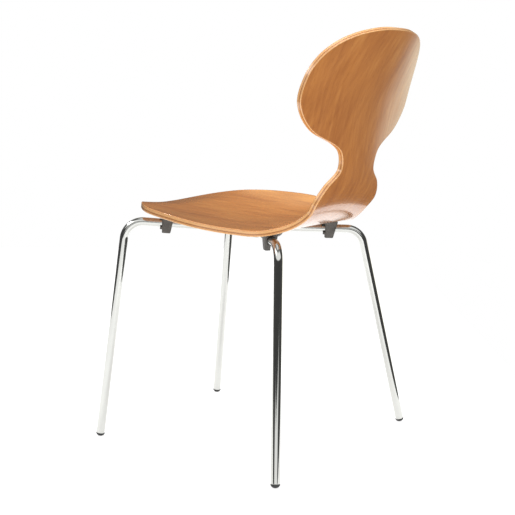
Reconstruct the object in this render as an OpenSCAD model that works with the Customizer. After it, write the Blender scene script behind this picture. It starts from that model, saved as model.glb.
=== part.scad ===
// Stacking chair: one moulded plywood shell on a bent steel tube frame.
// Units are millimetres. Front is -Y, the sitter's left is +X, +Z is up.
// The origin is on the floor, under the middle of the chair's bounding box.

/* [Shell] */
// Thickness of the moulded plywood
ply_t = 10.7; // [9:0.1:12]
// Height of the shell's mid surface above the floor, at the reference section
seat_z = 433; // [428:0.5:445]
// Depth position of that reference section
seat_y = -42.5; // [-46.5:0.5:-38.5]
// Number of points around the shell's outline
shell_steps = 176; // [96:16:240]
// Number of rings from the outline to the spine
shell_rings = 9; // [6:1:12]

/* [Leg tubes] */
// Outer diameter of the leg tube
tube_d = 16; // [14:0.5:16]
// Wall thickness of the leg tube
tube_wall = 2; // [1.2:0.1:2.5]
// Centre-line radius of the knee bends
knee_r = 37; // [32:1:42]
// Centre-line radius of the bend under the middle of the seat
apex_r = 40; // [34:1:46]
// Half the distance between the front feet
front_foot_x = 192; // [185:1:200]
// Half the distance between the rear feet
rear_foot_x = 232; // [222:1:236]
// Height of the corner where the front leg and the arm would meet
front_knee_z = 430.5; // [426:0.5:431]
// Height of the corner where the rear leg and the arm would meet
rear_knee_z = 405; // [402:0.5:408]
// Height of the corner of the bend under the middle of the seat
apex_z = 412.5; // [411:0.5:412.5]

/* [Mounting hub] */
// Thickness of the steel mounting plate
plate_t = 2.5; // [2:0.1:2.5]
// Diameter of the round mounting plate
plate_d = 86; // [84:0.5:87]
// Thickness of the isolating pad at its centre
pad_t = 2.2; // [1.8:0.1:2.6]
// Diameter of the isolating pad
pad_d = 92; // [90:0.5:93]
// Spacing of the fixing screws across the chair
screw_dx = 28; // [24:1:32]
// Spacing of the fixing screws from front to back
screw_dy = 52; // [46:1:56]
// Nominal diameter of the fixing screws
screw_d = 6; // [5:0.5:6]
// Outer diameter of the threaded inserts
insert_d = 9.5; // [8.5:0.1:10]
// Length of the threaded inserts
insert_l = 7.5; // [6:0.5:8]

/* [Hub cap] */
// Outer diameter of the plastic cap under the hub
cap_d = 93; // [92:0.5:96]
// Depth of the cap below the mounting plate's upper face
cap_h = 22.5; // [22:0.5:25]
// Wall thickness of the cap
cap_wall = 2.2; // [1.8:0.1:2.6]

/* [Spacer clips] */
// Distance of the front clips from the front knee corner
front_clip_at = 79; // [70:1:90]
// Distance of the rear clips from the rear knee corner
rear_clip_at = 62; // [58:1:66]
// Length of a clip along the tube, at its pad
clip_l = 30; // [26:1:32]
// Width of a clip across the tube, at its pad
clip_w = 27; // [24:1:30]
// Length of a clip along the tube, at its lower jaw
clip_foot_l = 16; // [13:1:20]
// Lean of the lower jaw towards the front
clip_lean = 1.5; // [0:0.5:2.5]
// Depth of the lower jaw below the tube's centre line
clip_drop = 18.5; // [16:0.5:22]

/* [Foot glides] */
// Diameter of the glide's head
glide_d = 16.8; // [16.2:0.1:17.6]
// Radius of the glide's domed underside
dome_r = 9.3; // [9:0.1:11]
// Length of the glide's stem inside the tube
glide_stem = 22; // [16:1:30]

/* [Hidden] */
$fn = 48;

wood = [0.74, 0.47, 0.27];
chrome = [0.86, 0.87, 0.88];
zinc = [0.72, 0.73, 0.75];
black = [0.09, 0.09, 0.10];

// ---- small vector helpers ----
function unit(v) = v / norm(v);
function mix(a, b, t) = a + (b - a) * t;

// ---- smooth curve through stations ----
// slope at station i of the values p over the stations t
function slope(t, p, i) =
    i == 0 ? (p[1] - p[0]) / (t[1] - t[0]) :
    i == len(t) - 1 ? (p[i] - p[i-1]) / (t[i] - t[i-1]) :
    (p[i+1] - p[i-1]) / (t[i+1] - t[i-1]);
function span(t, x, i = 0) = i >= len(t) - 2 || x < t[i+1] ? i : span(t, x, i + 1);
function hermite(p0, m0, p1, m1, h, u) =
    p0 * (2*u*u*u - 3*u*u + 1) + m0 * (h * (u*u*u - 2*u*u + u))
    + p1 * (3*u*u - 2*u*u*u) + m1 * (h * (u*u*u - u*u));
function curve(t, p, x) =
    let (i = span(t, x), h = t[i+1] - t[i])
    hermite(p[i], slope(t, p, i), p[i+1], slope(t, p, i + 1), h, (x - t[i]) / h);

// ---- the shell's centre line, from the front edge to the top edge ----
// distance along the centre line, and the slope of the shell there in degrees
run_s = [0, 40, 80, 130, 200, 270, 320, 360, 400, 435, 470, 510, 560, 620, 690, 800];
run_a = [14, 6.5, 3, -6.5, -8.5, -7, -1.5, 6.5, 24, 39, 55, 72.5, 80.5, 79, 66.5, 57];
// distance along the centre line, and the cross curvature there, per metre
bow_s = [0, 120, 250, 340, 420, 500, 560, 640, 800];
bow_k = [1.6, 0.7, 0.6, 0.3, -0.7, 0.6, 1.8, 1.5, 2.2];
function heading(s) = curve(run_s, run_a, s);
function bow(s) = curve(bow_s, bow_k, s) / 1000;
step = 4;
ref_s = 240;
// centre line as points [y, z] every step, integrated from its slope
raw_line = [for (i = 0, y = 0, z = 0; i <= 200;
                 y = y + step * cos(heading((i + 0.5) * step)),
                 z = z + step * sin(heading((i + 0.5) * step)), i = i + 1) [y, z]];
line_shift = [seat_y, seat_z] - raw_line[ref_s / step];
function centre(s) =
    s < 0 ? raw_line[0] + line_shift + s * [cos(heading(0)), sin(heading(0))] :
    let (i = min(floor(s / step), 199)) mix(raw_line[i], raw_line[i+1], s / step - i) + line_shift;
// point of the shell at x across and s along, off the mid surface by off
function shell_point(x, s, off) =
    let (a = heading(max(s, 0)), k = bow(max(s, 0)), c = centre(s),
         g = k * x, f = 1 / sqrt(1 + g * g), d = k * x * x / 2 + off * f)
    [x - off * g * f, c[0] - sin(a) * d, c[1] + cos(a) * d];
function shell_normal(x, s) =
    let (a = heading(max(s, 0)), g = bow(max(s, 0)) * x, f = 1 / sqrt(1 + g * g))
    [-g * f, -sin(a) * f, cos(a) * f];

// ---- the shell's outline, half of it, from the front edge to the top edge ----
// [half width, distance along the centre line]
half = [[0, 28], [55, 36], [100, 55], [142, 84], [178, 114], [209, 149], [228, 190],
        [238, 235], [235, 263], [226, 291], [208, 325], [176, 365], [118, 405], [102, 440],
        [106, 470], [90, 500], [58, 530], [69, 565], [149, 600], [187, 640], [186, 685],
        [173, 716], [154, 739], [128, 759], [95, 775], [50, 787], [0, 790]];
half_t = [for (i = 0, t = 0; i < len(half);
               t = t + (i + 1 < len(half) ? norm(half[i+1] - half[i]) : 0), i = i + 1) t];
// point of the outline at t along it; it crosses the centre line square on
function edge(t) =
    let (i = span(half_t, t), h = half_t[i+1] - half_t[i], last = len(half) - 1,
         m0 = i == 0 ? [1, 0] : slope(half_t, half, i),
         m1 = i + 1 == last ? [-1, 0] : slope(half_t, half, i + 1))
    hermite(half[i], m0, half[i+1], m1, h, (t - half_t[i]) / h);
edge_len = half_t[len(half) - 1];
half_n = shell_steps / 2;
// the rings shrink onto a spine that runs from spine_a to spine_b
spine_a = 90;
spine_b = 728;
function spine(i) =
    mix(spine_a, spine_b, 0.85 * (edge(edge_len * i / half_n)[1] - 28) / 762 + 0.15 * i / half_n);
function ring_xy(j, i) =
    let (k = min(i, shell_steps - i), side = i <= half_n ? 1 : -1,
         e = edge(edge_len * k / half_n), u = 1 - j / shell_rings)
    [side * e[0] * u, mix(spine(k), e[1], u)];

// ---- the leg frame's corners ----
function foot(sx, sy) = [sx * (sy < 0 ? front_foot_x : rear_foot_x), sy < 0 ? -272.5 : 171.5, 0];
function knee(sx, sy) = sy < 0 ? [sx * 169, -214, front_knee_z] : [sx * 146, 119.5, rear_knee_z];
function apex(sx) = [sx * 24, -19.5, apex_z];
function leg_dir(sx, sy) = unit(knee(sx, sy) - foot(sx, sy));
function arm_dir(sx, sy) = unit(apex(sx) - knee(sx, sy));
// the centre of the glide's dome sits a little below its radius, so it stands on a flat
ball_z = dome_r - 0.45;
// the tube ends below the centre of the dome
rim_drop = 2.2;
function ball(sx, sy) = foot(sx, sy) + leg_dir(sx, sy) * (ball_z / leg_dir(sx, sy)[2]);
function tube_end(sx, sy) = ball(sx, sy) - leg_dir(sx, sy) * rim_drop;

// ---- frames for placing things ----
// place children with their own X, Y and Z along the given unit vectors
module frame_at(o, x, y, z) {
    multmatrix([[x[0], y[0], z[0], o[0]], [x[1], y[1], z[1], o[1]],
                [x[2], y[2], z[2], o[2]], [0, 0, 0, 1]]) children();
}
function any_side(a) = unit(cross(abs(a[2]) > 0.9 ? [1, 0, 0] : [0, 0, 1], a));
module along(o, dir) {
    x = any_side(dir);
    frame_at(o, x, cross(dir, x), dir) children();
}
hub_s = 262;
hub_tilt = -5;
hub_o = shell_point(0, hub_s, -ply_t / 2);
module at_hub() { translate(hub_o) rotate([hub_tilt, 0, 0]) children(); }
// hub points are measured from the shell's underside at the hub's centre
function hub_to_world(p) = hub_o + [p[0], p[1] * cos(hub_tilt) - p[2] * sin(hub_tilt),
                                    p[1] * sin(hub_tilt) + p[2] * cos(hub_tilt)];
hub_n = [0, -sin(hub_tilt), cos(hub_tilt)];
// shell position [x, s] under or over a point, found by walking along the surface
function land(p, dir, q, n = 8) =
    n == 0 ? q :
    let (w = shell_point(q[0], q[1], -ply_t / 2), e = p + dir * ((w - p) * dir) - w)
    land(p, dir, [q[0] + e[0], q[1] + e[1] / cos(heading(q[1]))], n - 1);
function shell_height(p, dir) =
    let (q = land(p, dir, [p[0], p[1] - seat_y + ref_s]))
    (shell_point(q[0], q[1], -ply_t / 2) - p) * dir;
screw_xy = [for (sx = [-1, 1], sy = [-1, 1]) [sx * screw_dx / 2, sy * screw_dy / 2]];
// height of the shell's underside over the plate plane at each screw
function screw_gap(q) = shell_height(hub_to_world([q[0], q[1], 0]), hub_n);
insert_gap = 0.3;

// ---- moulded plywood shell ----
module shell_skin() {
    n = shell_steps;
    m = shell_rings;
    layer = m * n + half_n + 1;
    function id(side, j, i) =
        let (k = i % n) side * layer + (j < m ? j * n + k : m * n + min(k, n - k));
    pts = [for (side = [1, -1]) each concat(
        [for (j = [0:m-1], i = [0:n-1]) let (q = ring_xy(j, i)) shell_point(q[0], q[1], side * ply_t / 2)],
        [for (k = [0:half_n]) shell_point(0, spine(k), side * ply_t / 2)])];
    faces = concat(
        [for (j = [0:m-1], i = [0:n-1]) each
            [[id(0, j, i), id(0, j + 1, i), id(0, j, i + 1)],
             [id(0, j, i + 1), id(0, j + 1, i), id(0, j + 1, i + 1)]]],
        [for (j = [0:m-1], i = [0:n-1]) each
            [[id(1, j, i), id(1, j, i + 1), id(1, j + 1, i)],
             [id(1, j, i + 1), id(1, j + 1, i + 1), id(1, j + 1, i)]]],
        [for (i = [0:n-1]) each
            [[id(0, 0, i), id(0, 0, i + 1), id(1, 0, i)],
             [id(0, 0, i + 1), id(1, 0, i + 1), id(1, 0, i)]]]);
    polyhedron(points = pts, faces = faces, convexity = 6);
}
module seat_shell() color(wood)
    difference() {
        shell_skin();
        // blind holes for the threaded inserts
        for (q = screw_xy) at_hub()
            translate([q[0], q[1], -4]) cylinder(d = insert_d, h = 4 + screw_gap(q) + insert_gap + insert_l);
    }

// ---- leg tubes ----
// each bend is a hair fuller than the straight runs, which reach a little into it
fuller = 0.1;
reach = 0.5;
module wall(r, grow = 0) {
    difference() {
        circle(d = tube_d + grow);
        circle(d = tube_d - 2 * tube_wall + grow);
    }
}
// arc of tube round a corner, between two straight runs
module tube_bend(corner, a, b, r) {
    turn = acos(a * b);
    back = r * tan(turn / 2);
    inward = unit(b - a * (a * b));
    o = corner - a * back + inward * r;
    frame_at(o, -inward, a, cross(-inward, a))
        rotate_extrude(angle = turn) translate([r, 0]) wall(r, fuller);
}
module tube_run(p, q, from = reach, to = reach) {
    d = unit(q - p);
    along(p - d * from, d) linear_extrude(height = norm(q - p) + from + to) wall(0);
}
function setback(a, b, r) = r * tan(acos(a * b) / 2);
module leg_tube(sx) {
    lf = leg_dir(sx, -1); af = arm_dir(sx, -1);
    lr = leg_dir(sx, 1); ar = arm_dir(sx, 1);
    kf = knee(sx, -1); kr = knee(sx, 1); ap = apex(sx);
    sf = setback(lf, af, knee_r); sm = setback(af, -ar, apex_r); sr = setback(lr, ar, knee_r);
    tube_run(tube_end(sx, -1), kf - lf * sf, from = 0);
    tube_bend(kf, lf, af, knee_r);
    tube_run(kf + af * sf, ap - af * sm);
    tube_bend(ap, af, -ar, apex_r);
    tube_run(ap - ar * sm, kr + ar * sr);
    tube_bend(kr, -ar, -lr, knee_r);
    tube_run(kr - lr * sr, tube_end(sx, 1), to = 0);
}
module left_leg_tube() color(chrome) leg_tube(1);
module right_leg_tube() color(chrome) leg_tube(-1);

// ---- mounting hub ----
plate_top = -pad_t;
plate_low = -pad_t - plate_t;
module mounting_plate() color(zinc) at_hub() translate([0, 0, plate_low])
    difference() {
        cylinder(d = plate_d, h = plate_t);
        for (q = screw_xy) translate([q[0], q[1], -1]) cylinder(d = screw_d + 0.6, h = plate_t + 2);
        translate([0, 0, -1]) cylinder(d = 8.4, h = plate_t + 2);
    }
// block of space above the shell's underside, near the hub
module over_hub() {
    nx = 8; ns = 10;
    function p(i, j, up) =
        let (w = shell_point(-84 + 168 * i / nx, hub_s - 90 + 180 * j / ns, -ply_t / 2 - 0.05))
        w + [0, 0, up];
    function v(k, i, j) = k * (nx + 1) * (ns + 1) + j * (nx + 1) + i;
    pts = [for (up = [0, 30], j = [0:ns], i = [0:nx]) p(i, j, up)];
    faces = concat(
        [for (j = [0:ns-1], i = [0:nx-1]) each
            [[v(0, i, j), v(0, i + 1, j), v(0, i, j + 1)], [v(0, i + 1, j), v(0, i + 1, j + 1), v(0, i, j + 1)]]],
        [for (j = [0:ns-1], i = [0:nx-1]) each
            [[v(1, i, j), v(1, i, j + 1), v(1, i + 1, j)], [v(1, i + 1, j), v(1, i, j + 1), v(1, i + 1, j + 1)]]],
        [for (i = [0:nx-1]) each
            [[v(0, i, 0), v(1, i, 0), v(1, i + 1, 0)], [v(0, i, 0), v(1, i + 1, 0), v(0, i + 1, 0)]]],
        [for (i = [0:nx-1]) each
            [[v(0, i, ns), v(1, i + 1, ns), v(1, i, ns)], [v(0, i, ns), v(0, i + 1, ns), v(1, i + 1, ns)]]],
        [for (j = [0:ns-1]) each
            [[v(0, 0, j), v(1, 0, j + 1), v(1, 0, j)], [v(0, 0, j), v(0, 0, j + 1), v(1, 0, j + 1)]]],
        [for (j = [0:ns-1]) each
            [[v(0, nx, j), v(1, nx, j), v(1, nx, j + 1)], [v(0, nx, j), v(1, nx, j + 1), v(0, nx, j + 1)]]]);
    polyhedron(points = pts, faces = faces, convexity = 4);
}
module isolating_pad() color(black)
    difference() {
        at_hub() translate([0, 0, plate_top]) cylinder(d = pad_d, h = pad_t + 8);
        over_hub();
        at_hub() {
            for (q = screw_xy) translate([q[0], q[1], plate_top - 1]) cylinder(d = screw_d + 1.4, h = 20);
            translate([0, 0, plate_top - 1]) cylinder(d = 16, h = 20);
        }
    }
module threaded_inserts() color(zinc)
    for (q = screw_xy) at_hub()
        translate([q[0], q[1], screw_gap(q) + insert_gap]) difference() {
            cylinder(d = insert_d, h = insert_l);
            translate([0, 0, -1]) cylinder(d = screw_d, h = insert_l + 2);
        }
washer_t = 1.2;
module screw_washers() color(zinc)
    for (q = screw_xy) at_hub()
        translate([q[0], q[1], plate_low - washer_t]) difference() {
            cylinder(d = screw_d * 2, h = washer_t);
            translate([0, 0, -1]) cylinder(d = screw_d + 0.4, h = washer_t + 2);
        }
// pan head screws with a hexagon socket
module fixing_screws() color(zinc)
    for (q = screw_xy) at_hub() translate([q[0], q[1], plate_low - washer_t]) {
        head_h = screw_d * 0.55;
        difference() {
            union() {
                translate([0, 0, -head_h]) cylinder(d1 = screw_d * 1.3, d2 = screw_d * 1.75, h = head_h * 0.45);
                translate([0, 0, -head_h * 0.55]) cylinder(d = screw_d * 1.75, h = head_h * 0.55);
                cylinder(d = screw_d - 0.1, h = washer_t + plate_t + pad_t + screw_gap(q) + insert_l * 0.9);
            }
            translate([0, 0, -head_h - 0.1]) cylinder(d = screw_d * 0.7, h = head_h * 0.65, $fn = 6);
        }
    }

// ---- plastic cap under the hub ----
module dish(r, h, round) {
    rotate_extrude() {
        translate([0, -h]) square([r - round, h]);
        translate([0, -h + round]) square([r, h - round]);
        intersection() {
            translate([r - round, -h + round]) circle(r = round);
            translate([0, -h]) square([r, h]);
        }
    }
}
module hub_cap() color(black)
    difference() {
        at_hub() translate([0, 0, plate_top]) {
            difference() {
                dish(cap_d / 2, cap_h, 9);
                translate([0, 0, 1]) dish(cap_d / 2 - cap_wall, cap_h + 1 - cap_wall, 7);
            }
            // stud that snaps through the plate's centre hole
            translate([0, 0, -cap_h + 1]) cylinder(d = 14, h = cap_h - 1 - plate_t - 0.2);
            translate([0, 0, -plate_t - 1]) cylinder(d = 8, h = plate_t + 2.2);
            translate([0, 0, 0.2]) cylinder(d1 = 9.4, d2 = 7, h = 1.4);
        }
        // notches where the four arms run out
        for (sx = [-1, 1], sy = [-1, 1]) {
            d = -arm_dir(sx, sy);
            o = apex(sx) + d * 20;
            x = unit(cross(d, [0, 0, 1]));
            r = tube_d / 2 + 1.2;
            frame_at(o, x, d, cross(x, d)) {
                rotate([-90, 0, 0]) cylinder(r = r, h = 40);
                translate([-r, 0, 0]) cube([2 * r, 40, 30]);
            }
        }
    }

// ---- spacer clips between the arms and the shell ----
module rounded_slab(w, l, h, r) {
    for (x = [-w / 2 + r, w / 2 - r], y = [-l / 2 + r, l / 2 - r])
        translate([x, y, 0]) cylinder(r = r, h = h, $fn = 20);
}
module spacer_clip(sx, sy, at) {
    d = arm_dir(sx, sy);
    y = d[1] > 0 ? d : -d;
    x = unit(cross(y, [0, 0, 1]));
    z = cross(x, y);
    o = knee(sx, sy) + d * at;
    q = land(o, z, [o[0], o[1] - seat_y + ref_s]);
    top = shell_point(q[0], q[1], -ply_t / 2 - 0.08);
    n = shell_normal(q[0], q[1]);
    ty = unit(y - n * (y * n));
    difference() {
        union() {
            difference() {
                union() {
                    // flange against the shell
                    hull() frame_at(top, cross(ty, n), ty, n) translate([0, -1, -3.4]) rounded_slab(clip_w, clip_l, 3.4, 4);
                    // body, which leans a little towards the front
                    hull() {
                        frame_at(top, cross(ty, n), ty, n) translate([0, 1.2, -4.4]) rounded_slab(clip_w - 1.6, clip_l - 5, 3, 3.6);
                        frame_at(o, x, y, z) translate([0, -clip_lean, -clip_drop]) rounded_slab(clip_w * 0.74, clip_foot_l, 2, 3.5);
                    }
                }
                // flared mouths
                frame_at(o, x, y, z) for (m = [0, 1]) mirror([0, m, 0]) translate([0, clip_l * 0.3 - 2, 0])
                    rotate([-90, 0, 0]) cylinder(d1 = tube_d - 3, d2 = tube_d + 5, h = 10);
            }
            // small hook under the tube at the front end
            hull() frame_at(o, x, y, z) translate([5.6, -clip_foot_l / 2 - clip_lean - 0.5, -tube_d / 2 - 3.7])
                rounded_slab(7.6, 7.2, 4.7, 1.5);
        }
        // channel for the tube, with the open side that is pressed over it
        frame_at(o, x, y, z) {
            rotate([-90, 0, 0]) translate([0, 0, -40]) cylinder(d = tube_d + 0.1, h = 80);
            translate([-30, -40, -40]) cube([30, 80, 38]);
        }
    }
}
module front_left_spacer_clip() color(black) spacer_clip(1, -1, front_clip_at);
module front_right_spacer_clip() color(black) spacer_clip(-1, -1, front_clip_at);
module rear_left_spacer_clip() color(black) spacer_clip(1, 1, rear_clip_at);
module rear_right_spacer_clip() color(black) spacer_clip(-1, 1, rear_clip_at);

// ---- foot glides ----
module glide(sx, sy) {
    d = leg_dir(sx, sy);
    difference() {
        along(ball(sx, sy), d) {
            // head, with a domed underside
            rotate_extrude() intersection() {
                circle(r = dome_r);
                translate([0, -dome_r - 1]) square([glide_d / 2, dome_r + 1 - rim_drop]);
            }
            // stem inside the tube
            translate([0, 0, -rim_drop - 1]) cylinder(d = tube_d - 2 * tube_wall - 0.1, h = 1 + glide_stem);
        }
        translate([foot(sx, sy)[0] - 20, foot(sx, sy)[1] - 20, -20]) cube([40, 40, 20]);
    }
}
module front_left_glide() color(black) glide(1, -1);
module front_right_glide() color(black) glide(-1, -1);
module rear_left_glide() color(black) glide(1, 1);
module rear_right_glide() color(black) glide(-1, 1);

seat_shell();
left_leg_tube();
right_leg_tube();
mounting_plate();
isolating_pad();
threaded_inserts();
fixing_screws();
screw_washers();
hub_cap();
front_left_spacer_clip();
front_right_spacer_clip();
rear_left_spacer_clip();
rear_right_spacer_clip();
front_left_glide();
front_right_glide();
rear_left_glide();
rear_right_glide();
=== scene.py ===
import math
import bpy
import bmesh
import numpy as np
from mathutils import Matrix, Vector


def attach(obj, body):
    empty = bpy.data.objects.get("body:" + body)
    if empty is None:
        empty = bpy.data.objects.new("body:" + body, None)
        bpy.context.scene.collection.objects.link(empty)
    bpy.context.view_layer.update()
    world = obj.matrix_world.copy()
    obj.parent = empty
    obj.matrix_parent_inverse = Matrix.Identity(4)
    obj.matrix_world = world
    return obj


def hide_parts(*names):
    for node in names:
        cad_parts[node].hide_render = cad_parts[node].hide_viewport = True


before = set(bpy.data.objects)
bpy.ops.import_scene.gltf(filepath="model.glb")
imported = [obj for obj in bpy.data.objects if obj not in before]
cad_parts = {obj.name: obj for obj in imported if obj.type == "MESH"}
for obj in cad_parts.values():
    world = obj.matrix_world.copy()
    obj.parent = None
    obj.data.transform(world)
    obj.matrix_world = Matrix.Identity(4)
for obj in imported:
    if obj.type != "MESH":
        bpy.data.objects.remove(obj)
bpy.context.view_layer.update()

MM = 0.001

# ------------------------------------------------------------------ camera
scene = bpy.context.scene
scene.view_settings.view_transform = "Standard"
scene.view_settings.look = "None"
YAW, PITCH = math.radians(55.258), math.radians(8.675)
fwd = Vector((-math.sin(YAW) * math.cos(PITCH), -math.cos(YAW) * math.cos(PITCH), -math.sin(PITCH)))
right = Vector((-math.cos(YAW), math.sin(YAW), 0.0))
up = right.cross(fwd)
cam_data = bpy.data.cameras.new("camera")
cam_data.sensor_width = 36.0
cam_data.lens = 73.92
cam_data.clip_start = 0.05
cam_data.clip_end = 100.0
cam = bpy.data.objects.new("camera", cam_data)
scene.collection.objects.link(cam)
rot = Matrix((right, up, -fwd)).transposed()
cam.matrix_world = Matrix.Translation((1.6727, 1.1336, 0.6642)) @ rot.to_4x4()
scene.camera = cam

# ------------------------------------------------------------------ the shell as functions
PLY = 10.7
SEAT_Y, SEAT_Z, REF_S = -42.5, 433.0, 240.0
RUN_S = np.array([0, 40, 80, 130, 200, 270, 320, 360, 400, 435, 470, 510, 560, 620, 690, 800.0])
RUN_A = np.array([14, 6.5, 3, -6.5, -8.5, -7, -1.5, 6.5, 24, 39, 55, 72.5, 80.5, 79, 66.5, 57.0])
BOW_S = np.array([0, 120, 250, 340, 420, 500, 560, 640, 800.0])
BOW_K = np.array([1.6, 0.7, 0.6, 0.3, -0.7, 0.6, 1.8, 1.5, 2.2]) / 1000
HALF = np.array([[0, 28], [55, 36], [100, 55], [142, 84], [178, 114], [209, 149], [228, 190],
                 [238, 235], [235, 263], [226, 291], [208, 325], [176, 365], [118, 405], [102, 440],
                 [106, 470], [90, 500], [58, 530], [69, 565], [149, 600], [187, 640], [186, 685],
                 [173, 716], [154, 739], [128, 759], [95, 775], [50, 787], [0, 790.0]])


def slopes(t, p, first=None, last=None):
    m = np.zeros_like(p)
    dt = (t[2:] - t[:-2])
    m[1:-1] = (p[2:] - p[:-2]) / (dt[:, None] if p.ndim > 1 else dt)
    m[0] = (p[1] - p[0]) / (t[1] - t[0]) if first is None else first
    m[-1] = (p[-1] - p[-2]) / (t[-1] - t[-2]) if last is None else last
    return m


def curve(t, p, x, m=None):
    x = np.asarray(x, float)
    m = slopes(t, p) if m is None else m
    i = np.clip(np.searchsorted(t, x, side="right") - 1, 0, len(t) - 2)
    h = t[i + 1] - t[i]
    u = (x - t[i]) / h
    if p.ndim > 1:
        h, u = h[..., None], u[..., None]
    return (p[i] * (2 * u**3 - 3 * u**2 + 1) + m[i] * h * (u**3 - 2 * u**2 + u)
            + p[i + 1] * (3 * u**2 - 2 * u**3) + m[i + 1] * h * (u**3 - u**2))


STEP = 4.0
_s = np.arange(0, 801, STEP)
_a = np.radians(curve(RUN_S, RUN_A, _s[:-1] + STEP / 2))
LINE = np.zeros((len(_s), 2))
LINE[1:, 0] = np.cumsum(STEP * np.cos(_a))
LINE[1:, 1] = np.cumsum(STEP * np.sin(_a))
LINE += np.array([SEAT_Y, SEAT_Z]) - LINE[int(REF_S / STEP)]
# a smooth centre line through the same points, so the fine mesh has no corners
LINE_M = slopes(_s, LINE)


def shell(x, s, off):
    """Points of the shell in mm, at x across and s along, off the mid surface by off."""
    x, s, off = np.broadcast_arrays(np.asarray(x, float), np.asarray(s, float), np.asarray(off, float))
    a0 = math.radians(float(curve(RUN_S, RUN_A, 0.0)))
    sc = np.clip(s, 0, 800)
    a = np.radians(curve(RUN_S, RUN_A, sc))
    k = curve(BOW_S, BOW_K, sc)
    c = curve(_s, LINE, sc, LINE_M) + np.minimum(s, 0)[..., None] * np.array([math.cos(a0), math.sin(a0)])
    g = k * x
    f = 1 / np.sqrt(1 + g * g)
    d = k * x * x / 2 + off * f
    return np.stack([x - off * g * f, c[..., 0] - np.sin(a) * d, c[..., 1] + np.cos(a) * d], -1)


HT = np.concatenate([[0], np.cumsum(np.linalg.norm(np.diff(HALF, axis=0), axis=1))])
HM = slopes(HT, HALF, np.array([1.0, 0]), np.array([-1.0, 0]))


def outline(n):
    """n points round the shell's outline, evenly spaced, with outward normals: x, s, nx, ns."""
    tt = np.linspace(0, HT[-1], 6000)
    q = curve(HT, HALF, tt, HM)
    q = np.concatenate([q, (q[::-1] * [-1, 1])[1:-1]])
    d = np.linalg.norm(np.roll(q, -1, 0) - q, axis=1)
    L = np.concatenate([[0], np.cumsum(d)])
    at = np.arange(n) * L[-1] / n
    qq = np.vstack([q, q[:1]])
    p = np.stack([np.interp(at, L, qq[:, 0]), np.interp(at, L, qq[:, 1])], 1)
    t = np.roll(p, -1, 0) - np.roll(p, 1, 0)
    t /= np.linalg.norm(t, axis=1)[:, None]
    return p, np.stack([t[:, 1], -t[:, 0]], 1), at


def new_object(name, verts, faces, smooth=True):
    me = bpy.data.meshes.new(name)
    me.from_pydata([tuple(v) for v in np.asarray(verts) * MM], [], faces)
    me.validate()
    me.update()
    if smooth:
        me.polygons.foreach_set("use_smooth", np.ones(len(me.polygons), bool))
    ob = bpy.data.objects.new(name, me)
    scene.collection.objects.link(ob)
    return ob


def ring_faces(rows, n, closed=True):
    """quads between consecutive rows of n vertices each"""
    i = np.arange(n if closed else n - 1)
    j = (i + 1) % n
    out = []
    for a, b in zip(rows[:-1], rows[1:]):
        out.append(np.stack([a + i, a + j, b + j, b + i], 1))
    return np.concatenate(out).tolist()


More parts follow.
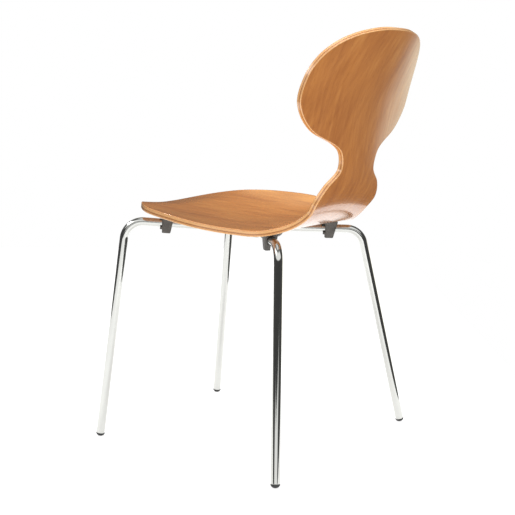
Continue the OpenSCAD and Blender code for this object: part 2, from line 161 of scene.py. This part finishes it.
def make_shell():
    n = 720
    p, nrm, at = outline(n)
    rr = 1.5                      # rounding of the edge
    sx, sb = 90.0, 728.0
    k = np.minimum(np.arange(n), n - np.arange(n)) / (n / 2)
    spine = sx + (sb - sx) * (0.85 * (p[:, 1] - 28) / 762 + 0.15 * k)
    rings = 40
    rows, xs, ss, off = [], [], [], []
    # top face, from the spine out
    base = p - nrm * rr
    us = 1 - (1 - np.linspace(0, 1, rings + 1)) ** 1.15
    for u in us:
        xs.append(base[:, 0] * u); ss.append(spine + (base[:, 1] - spine) * u); off.append(np.full(n, PLY / 2))
    # over the rounded edge and down the side
    for f in np.radians([15, 30, 45, 60, 75, 90]):
        q = p - nrm * rr * (1 - math.sin(f))
        xs.append(q[:, 0]); ss.append(q[:, 1]); off.append(np.full(n, PLY / 2 - rr + rr * math.cos(f)))
    for w in np.linspace(1, -1, 9)[1:-1]:
        xs.append(p[:, 0]); ss.append(p[:, 1]); off.append(np.full(n, w * (PLY / 2 - rr)))
    for f in np.radians([90, 75, 60, 45, 30, 15]):
        q = p - nrm * rr * (1 - math.sin(f))
        xs.append(q[:, 0]); ss.append(q[:, 1]); off.append(np.full(n, -(PLY / 2 - rr + rr * math.cos(f))))
    for u in us[::-1]:
        xs.append(base[:, 0] * u); ss.append(spine + (base[:, 1] - spine) * u); off.append(np.full(n, -PLY / 2))
    X, S, O = np.array(xs), np.array(ss), np.array(off)
    V = shell(X, S, O)
    m = len(X)
    verts = V.reshape(-1, 3)
    idx = np.arange(m * n).reshape(m, n)
    # on the spine, the two sides share their vertices
    mir = (n - np.arange(n)) % n
    for r in (0, m - 1):
        idx[r, n // 2 + 1:] = idx[r, mir[n // 2 + 1:]]
    faces = []
    for r in range(m - 1):
        a, b = idx[r], idx[r + 1]
        for i in range(n):
            j = (i + 1) % n
            f = [int(a[i]), int(b[i]), int(b[j]), int(a[j])]
            g = []
            for v in f:
                if v not in g:
                    g.append(v)
            if len(g) > 2:
                faces.append(g)
    used = np.zeros(m * n, bool)
    for f in faces:
        used[f] = True
    remap = np.cumsum(used) - 1
    faces = [[int(remap[v]) for v in f] for f in faces]
    ob = new_object("plywood_shell", verts[used], faces)
    me = ob.data
    X, S, O = X.ravel()[used], S.ravel()[used], O.ravel()[used]
    A = np.tile(at, m)[used]
    # face the normals outward
    bm = bmesh.new(); bm.from_mesh(me); bmesh.ops.recalc_face_normals(bm, faces=bm.faces); bm.to_mesh(me); bm.free()
    me.polygons.foreach_set("use_smooth", np.ones(len(me.polygons), bool))
    grain = me.attributes.new("grain", "FLOAT_VECTOR", "POINT")
    grain.data.foreach_set("vector", np.stack([X, S, O], 1).astype(np.float32).ravel() * MM)
    ply = me.attributes.new("ply", "FLOAT", "POINT")
    ply.data.foreach_set("value", (O / PLY + 0.5).astype(np.float32))
    around = me.attributes.new("around", "FLOAT", "POINT")
    lo = np.abs(2 * at / at.max() - 1)[None, :].repeat(m, 0).ravel()[used]
    around.data.foreach_set("value", (lo * at.max() / 2 * MM).astype(np.float32))
    return ob


# ------------------------------------------------------------------ leg tubes
FOOT = {-1: (192.0, -272.5, 0.0), 1: (232.0, 171.5, 0.0)}
KNEE = {-1: (169.0, -214.0, 430.5), 1: (146.0, 119.5, 405.0)}
APEX = (24.0, -19.5, 412.5)
TUBE_R, WALL, KNEE_R, APEX_R = 8.0, 2.0, 37.0, 40.0
HEAD_R, DOME_R, RIM_DROP = 8.4, 9.3, 2.2
BALL_Z = DOME_R - 0.45


def side(p, sx):
    return np.array([p[0] * sx, p[1], p[2]])


def unit(v):
    return v / np.linalg.norm(v)


def leg_dir(sx, sy):
    return unit(side(KNEE[sy], sx) - side(FOOT[sy], sx))


def ball(sx, sy):
    d = leg_dir(sx, sy)
    return side(FOOT[sy], sx) + d * (BALL_Z / d[2])


def arc(corner, a, b, r, n):
    turn = math.acos(float(a @ b))
    back = r * math.tan(turn / 2)
    inward = unit(b - a * (a @ b))
    o = corner - a * back + inward * r
    w = np.linspace(0, turn, n)
    return [o - inward * r * math.cos(t) + a * r * math.sin(t) for t in w]


def straight(p, q, n):
    return [p + (q - p) * t for t in np.linspace(0, 1, n)[1:-1]]


def sweep(name, path, radii, n=48):
    """Closed ring sections of the given radii (out along the path and back inside) swept along path."""
    path = np.array(path)
    t = np.gradient(path, axis=0)
    t /= np.linalg.norm(t, axis=1)[:, None]
    x = unit(np.cross(t[0], [0, 0, 1.0]))
    fr = []
    for i in range(len(path)):
        x = unit(x - t[i] * (x @ t[i]))
        fr.append((x, np.cross(t[i], x)))
    w = np.linspace(0, 2 * math.pi, n, endpoint=False)
    c, s_ = np.cos(w)[:, None], np.sin(w)[:, None]
    verts = []
    for (i, r) in radii:
        x, y = fr[i]
        verts.append(path[i] + r * (c * x + s_ * y))
    m = len(radii)
    rows = [k * n for k in range(m)]
    faces = ring_faces(rows, n)
    i = np.arange(n); j = (i + 1) % n
    last = (m - 1) * n
    faces += np.stack([last + i, last + j, j, i], 1).tolist()
    ob = new_object(name, np.concatenate(verts), faces)
    bm = bmesh.new(); bm.from_mesh(ob.data); bmesh.ops.recalc_face_normals(bm, faces=bm.faces); bm.to_mesh(ob.data); bm.free()
    return ob


def make_leg(sx, name):
    kf, kr, ap = side(KNEE[-1], sx), side(KNEE[1], sx), side(APEX, sx)
    lf, lr = leg_dir(sx, -1), leg_dir(sx, 1)
    af, ar = unit(ap - kf), unit(ap - kr)
    p0 = ball(sx, -1) - lf * RIM_DROP
    p1 = ball(sx, 1) - lr * RIM_DROP
    a1 = arc(kf, lf, af, KNEE_R, 40)
    a2 = arc(ap, af, -ar, APEX_R, 40)
    a3 = arc(kr, -ar, -lr, KNEE_R, 40)
    end = 0.25
    path = ([p0, p0 + lf * end, p0 + lf * 0.6, p0 + lf * 1.2] + straight(p0 + lf * 1.2, a1[0], 26) + a1 + straight(a1[-1], a2[0], 14)
            + a2 + straight(a2[-1], a3[0], 12) + a3 + straight(a3[-1], p1 + lr * 1.2, 26) + [p1 + lr * 1.2, p1 + lr * 0.6, p1 + lr * end, p1])
    m = len(path)
    out = [(i, TUBE_R - (end if i in (0, m - 1) else 0)) for i in range(m)]
    inn = [(i, TUBE_R - WALL) for i in range(m - 1, -1, -1)]
    return sweep(name, path, out + inn)


# ------------------------------------------------------------------ glides
def make_glide(sx, sy, name):
    # the domed underside, the narrow side, its rounded rim and the ribbed stem
    prof = []
    for a in np.radians(np.linspace(-90, -math.degrees(math.acos(HEAD_R / DOME_R)), 20)):
        prof.append((DOME_R * math.cos(a), DOME_R * math.sin(a)))
    top = -RIM_DROP
    for a in np.radians(np.linspace(0, 90, 7)):
        prof.append((HEAD_R - 0.5 + 0.5 * math.cos(a), top - 0.5 + 0.5 * math.sin(a)))
    sr = TUBE_R - WALL - 0.05
    prof += [(sr + 0.6, top), (sr, top)]
    for z in (5, 9, 13, 17):
        prof += [(sr, top + z - 0.6), (sr - 0.5, top + z), (sr, top + z + 0.6)]
    prof += [(sr, top + 21), (sr - 1.0, top + 22), (0.0, top + 22)]
    n = 64
    d = leg_dir(sx, sy)
    x = unit(np.cross(d, [0, 0, 1.0]) if abs(d[2]) < 0.99 else np.cross(d, [1.0, 0, 0]))
    y = np.cross(d, x)
    o = ball(sx, sy)
    w = np.linspace(0, 2 * math.pi, n, endpoint=False)
    verts = [o - d * DOME_R]
    for r, z in prof[1:-1]:
        for t in w:
            verts.append(o + d * z + r * (x * math.cos(t) + y * math.sin(t)))
    verts.append(o + d * prof[-1][1])
    verts = np.array(verts)
    verts[:, 2] = np.maximum(verts[:, 2], 0)
    faces = []
    m = len(prof) - 2
    for i in range(n):
        j = (i + 1) % n
        faces.append([0, 1 + j, 1 + i])
        for k in range(m - 1):
            a, b = 1 + k * n, 1 + (k + 1) * n
            faces.append([a + i, a + j, b + j, b + i])
        faces.append([1 + (m - 1) * n + i, 1 + (m - 1) * n + j, len(verts) - 1])
    return new_object(name, verts, faces)


# ------------------------------------------------------------------ moulded plastic pieces from their CAD solids
def soften(name, node, voxel, passes):
    """A copy of a CAD node with its corners rounded, as a moulded piece has them."""
    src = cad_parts[node]
    ob = bpy.data.objects.new(name, src.data.copy())
    ob.data.materials.clear()
    scene.collection.objects.link(ob)
    bm = bmesh.new(); bm.from_mesh(ob.data)
    bmesh.ops.remove_doubles(bm, verts=bm.verts, dist=1e-6)
    bmesh.ops.recalc_face_normals(bm, faces=bm.faces)
    bm.to_mesh(ob.data); bm.free()
    r = ob.modifiers.new("remesh", "REMESH"); r.mode = "VOXEL"; r.voxel_size = voxel * MM; r.adaptivity = 0.0
    s = ob.modifiers.new("smooth", "SMOOTH"); s.factor = 0.5; s.iterations = passes
    bpy.context.view_layer.update()
    dg = bpy.context.evaluated_depsgraph_get()
    me = bpy.data.meshes.new_from_object(ob.evaluated_get(dg))
    ob.modifiers.clear()
    ob.data = me
    me.name = name
    me.polygons.foreach_set("use_smooth", np.ones(len(me.polygons), bool))
    return ob


# ------------------------------------------------------------------ material helpers
def lin(r, g, b):
    f = lambda c: (c / 255 / 12.92) if c / 255 <= 0.04045 else ((c / 255 + 0.055) / 1.055) ** 2.4
    return (f(r), f(g), f(b), 1.0)


class Net:
    """A short way to write a node tree."""

    def __init__(self, name):
        self.mat = bpy.data.materials.new(name)
        self.mat.use_nodes = True
        self.nt = self.mat.node_tree
        self.nt.nodes.clear()
        self.out = self.nt.nodes.new("ShaderNodeOutputMaterial")
        self.bsdf = self.nt.nodes.new("ShaderNodeBsdfPrincipled")
        self.link(self.bsdf.outputs[0], self.out.inputs[0])

    def link(self, a, b):
        self.nt.links.new(a, b)

    def put(self, sock, v):
        if isinstance(v, bpy.types.NodeSocket):
            self.link(v, sock)
        else:
            sock.default_value = v

    def attr(self, name, which):
        n = self.nt.nodes.new("ShaderNodeAttribute")
        n.attribute_name = name
        return n.outputs[which]

    def math(self, op, a, b=None, c=None, clamp=False):
        n = self.nt.nodes.new("ShaderNodeMath")
        n.operation = op
        n.use_clamp = clamp
        self.put(n.inputs[0], a)
        if b is not None:
            self.put(n.inputs[1], b)
        if c is not None:
            self.put(n.inputs[2], c)
        return n.outputs[0]

    def vmath(self, op, a, b):
        n = self.nt.nodes.new("ShaderNodeVectorMath")
        n.operation = op
        self.put(n.inputs[0], a)
        self.put(n.inputs[1], b)
        return n.outputs[0]

    def split(self, v):
        n = self.nt.nodes.new("ShaderNodeSeparateXYZ")
        self.link(v, n.inputs[0])
        return n.outputs

    def join(self, x, y, z):
        n = self.nt.nodes.new("ShaderNodeCombineXYZ")
        for s, v in zip(n.inputs, (x, y, z)):
            self.put(s, v)
        return n.outputs[0]

    def noise(self, v, scale, detail=3.0, rough=0.5, distort=0.0):
        n = self.nt.nodes.new("ShaderNodeTexNoise")
        self.link(v, n.inputs["Vector"])
        n.inputs["Scale"].default_value = scale
        n.inputs["Detail"].default_value = detail
        n.inputs["Roughness"].default_value = rough
        n.inputs["Distortion"].default_value = distort
        return n.outputs["Fac"]

    def cells(self, v, scale, which="Distance"):
        n = self.nt.nodes.new("ShaderNodeTexVoronoi")
        self.link(v, n.inputs["Vector"])
        n.inputs["Scale"].default_value = scale
        return n.outputs[which]

    def ramp(self, f, stops, kind="LINEAR"):
        n = self.nt.nodes.new("ShaderNodeValToRGB")
        n.color_ramp.interpolation = kind
        e = n.color_ramp.elements
        while len(e) > 1:
            e.remove(e[-1])
        e[0].position, e[0].color = stops[0][0], stops[0][1]
        for p, c in stops[1:]:
            x = e.new(p)
            x.color = c
        self.link(f, n.inputs[0])
        return n.outputs[0]

    def to(self, v, a, b, lo, hi, smooth=False):
        n = self.nt.nodes.new("ShaderNodeMapRange")
        if smooth:
            n.interpolation_type = "SMOOTHSTEP"
        self.put(n.inputs[0], v)
        for k, x in zip((1, 2, 3, 4), (a, b, lo, hi)):
            n.inputs[k].default_value = x
        return n.outputs[0]

    def mix(self, f, a, b, kind="MIX"):
        n = self.nt.nodes.new("ShaderNodeMix")
        n.data_type = "RGBA"
        n.blend_type = kind
        self.put(n.inputs[0], f)
        self.put(n.inputs[6], a)
        self.put(n.inputs[7], b)
        return n.outputs[2]

    def bump(self, h, strength, distance, normal=None):
        n = self.nt.nodes.new("ShaderNodeBump")
        n.inputs["Strength"].default_value = strength
        n.inputs["Distance"].default_value = distance
        self.link(h, n.inputs["Height"])
        if normal is not None:
            self.link(normal, n.inputs["Normal"])
        return n.outputs[0]

    def set(self, **kw):
        for k, v in kw.items():
            self.put(self.bsdf.inputs[k.replace("_", " ")], v)
        return self

    def place(self):
        n = self.nt.nodes.new("ShaderNodeTexCoord")
        return n.outputs["Object"]


# ------------------------------------------------------------------ lacquered plywood
def wood_material():
    m = Net("lacquered_plywood")
    g = m.attr("grain", "Vector")
    x, s, o = m.split(g)
    o = m.math("MULTIPLY", o, 34.0)
    # the fibres lean a little across the sheet and waver along it
    slow = m.noise(m.join(m.math("MULTIPLY", x, 2.0), m.math("MULTIPLY", s, 1.6), o), 2.2, 2.0)
    lean = m.math("MULTIPLY", m.math("SUBTRACT", slow, 0.5), 0.055)
    xx = m.math("ADD", m.math("ADD", x, lean), m.math("MULTIPLY", s, 0.035))
    # growth rings cut nearly flat: a long cone whose depth under the sheet drifts
    drift = m.noise(m.join(0.3, m.math("MULTIPLY", s, 1.0), o), 3.1, 1.0)
    depth = m.math("MULTIPLY", m.math("SUBTRACT", drift, 0.47), 0.42)
    core = m.math("SUBTRACT", xx, m.math("ADD", 0.012, m.math("MULTIPLY", o, 0.12)))
    r = m.math("SQRT", m.math("ADD", m.math("MULTIPLY", core, core), m.math("MULTIPLY", depth, depth)))
    rough = m.noise(m.join(m.math("MULTIPLY", xx, 30.0), m.math("MULTIPLY", s, 3.5), o), 1.6, 4.0, 0.55)
    turns = m.math("ADD", m.math("MULTIPLY", r, 70.0), m.math("MULTIPLY", rough, 3.2))
    ring = m.math("FRACT", turns)
    ring = m.ramp(ring, [(0.0, (0.35, 0.35, 0.35, 1)), (0.5, (0.55, 0.55, 0.55, 1)), (0.82, (0.9, 0.9, 0.9, 1)), (0.93, (0.4, 0.4, 0.4, 1)), (1.0, (0.35, 0.35, 0.35, 1))])
    # fibres, fine and coarse
    fine = m.noise(m.join(m.math("MULTIPLY", xx, 900.0), m.math("MULTIPLY", s, 14.0), o), 1.0, 3.0, 0.6)
    streak = m.noise(m.join(m.math("MULTIPLY", xx, 120.0), m.math("MULTIPLY", s, 3.0), o), 1.0, 4.0, 0.6)
    broad = m.noise(m.join(m.math("MULTIPLY", xx, 22.0), m.math("MULTIPLY", s, 1.8), o), 1.0, 3.0, 0.5)
    cloud = m.noise(m.join(m.math("MULTIPLY", xx, 15.0), m.math("MULTIPLY", s, 7.0), o), 1.0, 4.0, 0.55, 0.6)
    # soft slanting feathers
    slant = m.math("ADD", xx, m.math("MULTIPLY", s, 0.42))
    feather = m.noise(m.join(m.math("MULTIPLY", slant, 60.0), m.math("MULTIPLY", s, 9.0), o), 1.0, 4.0, 0.6, 0.4)
    # short dark flecks of the medullary rays
    fl = m.noise(m.join(m.math("MULTIPLY", xx, 640.0), m.math("MULTIPLY", s, 105.0), o), 1.0, 1.0, 0.4)
    fleck = m.to(fl, 0.62, 0.74, 0.0, 1.0)
    tone = m.math("ADD", m.math("MULTIPLY", ring, 0.07), m.math("MULTIPLY", streak, 0.15))
    tone = m.math("ADD", tone, m.math("MULTIPLY", broad, 0.20))
    tone = m.math("ADD", tone, m.math("MULTIPLY", cloud, 0.24))
    tone = m.math("ADD", tone, m.math("MULTIPLY", feather, 0.28))
    tone = m.math("ADD", tone, m.math("MULTIPLY", fine, 0.12))
    face = m.ramp(tone, [(0.34, lin(*WOOD_LIGHT)), (0.51, lin(*WOOD_MID)), (0.68, lin(*WOOD_DARK))])
    face = m.mix(m.math("MULTIPLY", fleck, 0.30), face, lin(*WOOD_FLECK))
    # the edge: plies with the grain along and across in turn, with thin glue lines
    ply = m.attr("ply", "Fac")
    a = m.attr("around", "Fac")
    waver = m.noise(m.join(m.math("MULTIPLY", a, 9.0), m.math("MULTIPLY", ply, 1.5), 0.0), 3.0, 2.0)
    w = m.math("ADD", ply, m.math("MULTIPLY", m.math("SUBTRACT", waver, 0.5), 0.018))
    stops = [(at, lin(*c)) for at, c in EDGE]
    edge = m.ramp(w, stops)
    nick = m.noise(m.join(m.math("MULTIPLY", a, 260.0), m.math("MULTIPLY", ply, 9.0), 1.0), 1.0, 4.0, 0.7)
    edge = m.mix(m.to(nick, 0.5, 0.85, 0.0, 0.35), edge, lin(*DARK))
    low = m.to(ply, 0.004, 0.03, 0.0, 1.0)
    high = m.to(ply, 0.97, 0.996, 1.0, 0.0)
    on_edge = m.math("MULTIPLY", low, high)
    colour = m.mix(on_edge, face, edge)
    gloss = m.to(m.noise(m.join(m.math("MULTIPLY", xx, 60.0), m.math("MULTIPLY", s, 12.0), o), 1.0, 3.0), 0.3, 0.7, 0.30, 0.40)
    pores = m.math("ADD", m.math("MULTIPLY", fine, 0.6), m.math("MULTIPLY", fleck, -0.5))
    b = m.bump(pores, 0.10, 0.0002)
    wave = m.noise(m.join(m.math("MULTIPLY", x, 9.0), m.math("MULTIPLY", s, 5.0), o), 1.0, 2.0)
    b2 = m.bump(wave, 0.18, 0.004, b)
    m.set(Base_Color=colour, Roughness=gloss, Normal=b2, Coat_Weight=1.0, Coat_Roughness=0.15, Coat_IOR=1.68, IOR=1.45)
    m.put(m.bsdf.inputs["Coat Normal"], m.bump(wave, 0.12, 0.003))
    return m.mat


WOOD_LIGHT, WOOD_MID, WOOD_DARK, WOOD_FLECK = (192, 133, 69), (171, 108, 49), (143, 82, 34), (120, 65, 29)
# the edge from the under face up: pale plies, faint joints and one dark ply
PALE, WARM, JOINT, DARK = (207, 158, 103), (187, 132, 80), (169, 112, 62), (132, 80, 40)
EDGE = [(0.0, PALE), (0.15, PALE), (0.165, JOINT), (0.18, WARM), (0.33, WARM), (0.365, DARK), (0.445, DARK), (0.475, WARM),
        (0.60, PALE), (0.625, JOINT), (0.64, PALE), (0.80, PALE), (0.82, JOINT), (0.835, WARM), (1.0, WARM)]


# ------------------------------------------------------------------ the other materials
def chrome_material():
    m = Net("chromed_steel")
    p = m.place()
    haze = m.noise(p, 40.0, 4.0, 0.6)
    wipe = m.noise(m.vmath("MULTIPLY", p, (300.0, 300.0, 24.0)), 1.0, 3.0)
    colour = m.mix(haze, (0.625, 0.63, 0.605, 1), (0.69, 0.697, 0.668, 1))
    rough = m.math("ADD", m.to(haze, 0.3, 0.7, 0.035, 0.06), m.math("MULTIPLY", wipe, 0.02))
    m.set(Base_Color=colour, Metallic=1.0, Roughness=rough, Normal=m.bump(wipe, 0.02, 0.0002))
    return m.mat


def zinc_material():
    m = Net("zinc_plated_steel")
    p = m.place()
    span = m.cells(p, 260.0, "Color")
    x, y, z = m.split(span)
    brush = m.noise(m.vmath("MULTIPLY", p, (900.0, 60.0, 900.0)), 1.0, 3.0)
    colour = m.mix(x, (0.50, 0.51, 0.52, 1), (0.66, 0.67, 0.68, 1))
    rough = m.math("ADD", m.to(y, 0.0, 1.0, 0.26, 0.38), m.math("MULTIPLY", brush, 0.08))
    m.set(Base_Color=colour, Metallic=1.0, Roughness=rough, Normal=m.bump(brush, 0.08, 0.0003))
    return m.mat


def moulded_material(name, dark, light, r0, r1, grain, strength):
    m = Net(name)
    p = m.place()
    speck = m.noise(p, grain, 4.0, 0.65)
    cloud = m.noise(p, 60.0, 3.0)
    pit = m.cells(p, grain * 0.6)
    colour = m.mix(m.to(cloud, 0.3, 0.7, 0.0, 1.0), dark, light)
    colour = m.mix(m.to(speck, 0.55, 0.8, 0.0, 0.5), colour, tuple(min(1, c * 1.6) for c in light[:3]) + (1,))
    rough = m.to(speck, 0.3, 0.7, r0, r1)
    h = m.math("ADD", speck, m.math("MULTIPLY", pit, 0.7))
    m.set(Base_Color=colour, Roughness=rough, Normal=m.bump(h, strength, 0.0003), IOR=1.5)
    return m.mat


WOOD = wood_material()
CHROME = chrome_material()
ZINC = zinc_material()
PLASTIC = moulded_material("black_plastic", (0.062, 0.057, 0.051, 1), (0.090, 0.084, 0.075, 1), 0.40, 0.54, 1400.0, 0.25)
RUBBER = moulded_material("black_rubber", (0.012, 0.012, 0.012, 1), (0.022, 0.022, 0.022, 1), 0.48, 0.66, 2200.0, 0.35)


def dress(ob, mat):
    ob.data.materials.clear()
    ob.data.materials.append(mat)


def add(ob, mat, slot, *nodes):
    dress(ob, mat)
    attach(ob, "root")
    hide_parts(*nodes)
    return ob


# ------------------------------------------------------------------ the pieces
add(make_shell(), WOOD, "lacquered_plywood", "seat_shell")
add(make_leg(1, "left_leg_tube_chrome"), CHROME, "chromed_steel", "left_leg_tube")
add(make_leg(-1, "right_leg_tube_chrome"), CHROME, "chromed_steel", "right_leg_tube")
for word, sx, sy in (("front_left", 1, -1), ("front_right", -1, -1), ("rear_left", 1, 1), ("rear_right", -1, 1)):
    add(make_glide(sx, sy, word + "_glide_cap"), RUBBER, "black_rubber", word + "_glide")
    add(soften(word + "_clip_moulded", word + "_spacer_clip", 0.45, 6), PLASTIC, "black_plastic", word + "_spacer_clip")

for node, mat in (("mounting_plate", ZINC), ("threaded_inserts", ZINC), ("fixing_screws", ZINC), ("screw_washers", ZINC),
                  ("isolating_pad", RUBBER), ("hub_cap", PLASTIC)):
    dress(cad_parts[node], mat)

# ------------------------------------------------------------------ floor and light
# the sweep is narrow, and a warm wall lies low behind it to the camera's right
corner = lambda r, b: ((r * right[0] + b * math.sin(YAW)) / MM, (r * right[1] + b * math.cos(YAW)) / MM, 0)
fl = new_object("floor", [corner(r, b) for r, b in ((-2.4, 2.6), (-2.4, -2.6), (0.60, -2.6), (0.60, -0.53), (0.52, 0.1), (0.52, 2.6))],
                [[0, 1, 2, 3, 4, 5]], smooth=False)
fm = Net("studio_floor")
fp = fm.place()
fm.set(Base_Color=fm.mix(fm.noise(fp, 3.0, 2.0), (0.24, 0.24, 0.24, 1), (0.26, 0.26, 0.26, 1)), Roughness=0.8,
       Emission_Color=(1, 1, 1, 1), Emission_Strength=0.82)
fm.bsdf.inputs["Specular IOR Level"].default_value = 0.0
dress(fl, fm.mat)

# the room: white to look at and as fill, dark in reflections above the sweep
world = bpy.data.worlds.new("studio")
scene.world = world
world.use_nodes = True
wt = world.node_tree
wt.nodes.clear()
wo = wt.nodes.new("ShaderNodeOutputWorld")
white = wt.nodes.new("ShaderNodeBackground")
room = wt.nodes.new("ShaderNodeBackground")
choose = wt.nodes.new("ShaderNodeMixShader")
path = wt.nodes.new("ShaderNodeLightPath")
white.inputs[0].default_value = (1, 1, 1, 1)
white.inputs[1].default_value = 1.0
wc = wt.nodes.new("ShaderNodeTexCoord")


def along(v):
    """how far the sky direction points along v"""
    n = wt.nodes.new("ShaderNodeVectorMath")
    n.operation = "DOT_PRODUCT"
    wt.links.new(wc.outputs["Generated"], n.inputs[0])
    n.inputs[1].default_value = tuple(v)
    return n.outputs["Value"]


def band(x, a, b, lo, hi):
    n = wt.nodes.new("ShaderNodeMapRange")
    n.interpolation_type = "SMOOTHSTEP"
    wt.links.new(x, n.inputs[0])
    for k, v in zip((1, 2, 3, 4), (a, b, lo, hi)):
        n.inputs[k].default_value = v
    return n.outputs[0]


def calc(op, a, b):
    n = wt.nodes.new("ShaderNodeMath")
    n.operation = op
    for s_, v in zip(n.inputs, (a, b)):
        if isinstance(v, bpy.types.NodeSocket):
            wt.links.new(v, s_)
        else:
            s_.default_value = v
    return n.outputs[0]


sky_r, sky_b, sky_z = along(right), along((math.sin(YAW), math.cos(YAW), 0.0)), along((0, 0, 1))
dusk = calc("ADD", band(sky_b, 0.0, 0.8, 0.075, 0.06), band(sky_z, 0.3, 1.0, 0.0, 0.10))
# a low white screen behind the camera
screen = calc("MULTIPLY", calc("MULTIPLY", band(sky_z, 0.165, 0.205, 1.0, 0.0), band(sky_z, -0.02, 0.02, 0.0, 1.0)),
              calc("MULTIPLY", band(sky_r, -0.62, -0.35, 0.0, 1.0), band(sky_r, 0.60, 0.75, 1.0, 0.0)))
screen = calc("MULTIPLY", screen, band(sky_b, 0.3, 0.5, 0.0, 1.0))
# and a wide high one
bank = calc("MULTIPLY", calc("MULTIPLY", band(sky_z, 0.34, 0.46, 0.0, 1.0), band(sky_z, 0.80, 0.92, 1.0, 0.0)),
            band(sky_b, 0.10, 0.30, 0.0, 1.0))
zenith = band(sky_z, 0.93, 0.97, 0.0, 1.0)
glow = calc("ADD", dusk, calc("ADD", calc("MULTIPLY", screen, 1.0), calc("MAXIMUM", bank, calc("MULTIPLY", zenith, 0.7))))
# warm light beyond the chair: a high panel, and a low wall to the right
beyond = calc("MULTIPLY", calc("MULTIPLY", band(sky_z, 0.37, 0.50, 0.0, 1.0), band(sky_z, 0.75, 0.90, 1.0, 0.0)),
              band(sky_b, -0.70, -0.85, 0.0, 1.0))
wall = calc("MULTIPLY", calc("MULTIPLY", band(sky_b, -0.54, -0.72, 0.0, 1.0), band(sky_z, -0.02, 0.04, 1.0, 0.0)),
            calc("MULTIPLY", band(sky_z, -0.32, -0.13, 0.0, 1.0), band(sky_r, 0.1, 0.2, 0.0, 1.0)))
warm = calc("ADD", calc("MULTIPLY", beyond, 0.8), calc("MULTIPLY", wall, 0.95))
tint = wt.nodes.new("ShaderNodeMix")
tint.data_type = "RGBA"
wt.links.new(calc("ADD", beyond, calc("MULTIPLY", wall, 0.45)), tint.inputs[0])
tint.inputs[6].default_value = (1.0, 1.0, 1.0, 1.0)
tint.inputs[7].default_value = (1.0, 0.84, 0.40, 1.0)
wt.links.new(tint.outputs[2], room.inputs[0])
wt.links.new(calc("ADD", glow, warm), room.inputs[1])
wt.links.new(path.outputs["Is Glossy Ray"], choose.inputs[0])
wt.links.new(white.outputs[0], choose.inputs[1])
wt.links.new(room.outputs[0], choose.inputs[2])
wt.links.new(choose.outputs[0], wo.inputs[0])


def softbox(name, az, el, dist, aim, sx, sy, radiance):
    """A rectangular soft light seen from aim at azimuth az (0 is behind the camera, + to its right) and elevation el."""
    back = Vector((math.sin(YAW), math.cos(YAW), 0))
    a, b = math.radians(az), math.radians(el)
    d = (back * math.cos(a) + right * math.sin(a)) * math.cos(b) + Vector((0, 0, 1)) * math.sin(b)
    L = bpy.data.lights.new(name, "AREA")
    L.shape = "RECTANGLE"
    L.size, L.size_y = sx, sy
    L.energy = radiance * math.pi * sx * sy
    ob = bpy.data.objects.new(name, L)
    scene.collection.objects.link(ob)
    p = Vector(aim) + d * dist
    ob.matrix_world = Matrix.Translation(p) @ (-d).to_track_quat("-Z", "Y").to_matrix().to_4x4()
    ob.visible_camera = False
    return ob


softbox("overhead", 160, 78, 2.2, (0, 0, 0.5), 1.8, 1.8, 9.8).visible_glossy = False
softbox("low_fill", 15, -24, 0.9, (0, 0.12, 0.44), 0.6, 0.4, 6.5).visible_glossy = False
softbox("left_side", -80, 38, 2.4, (0, 0, 0.6), 2.0, 0.8, 2.0)
softbox("left_key", -99, 36, 2.4, (0, 0, 0.6), 0.14, 0.32, 60).visible_diffuse = False
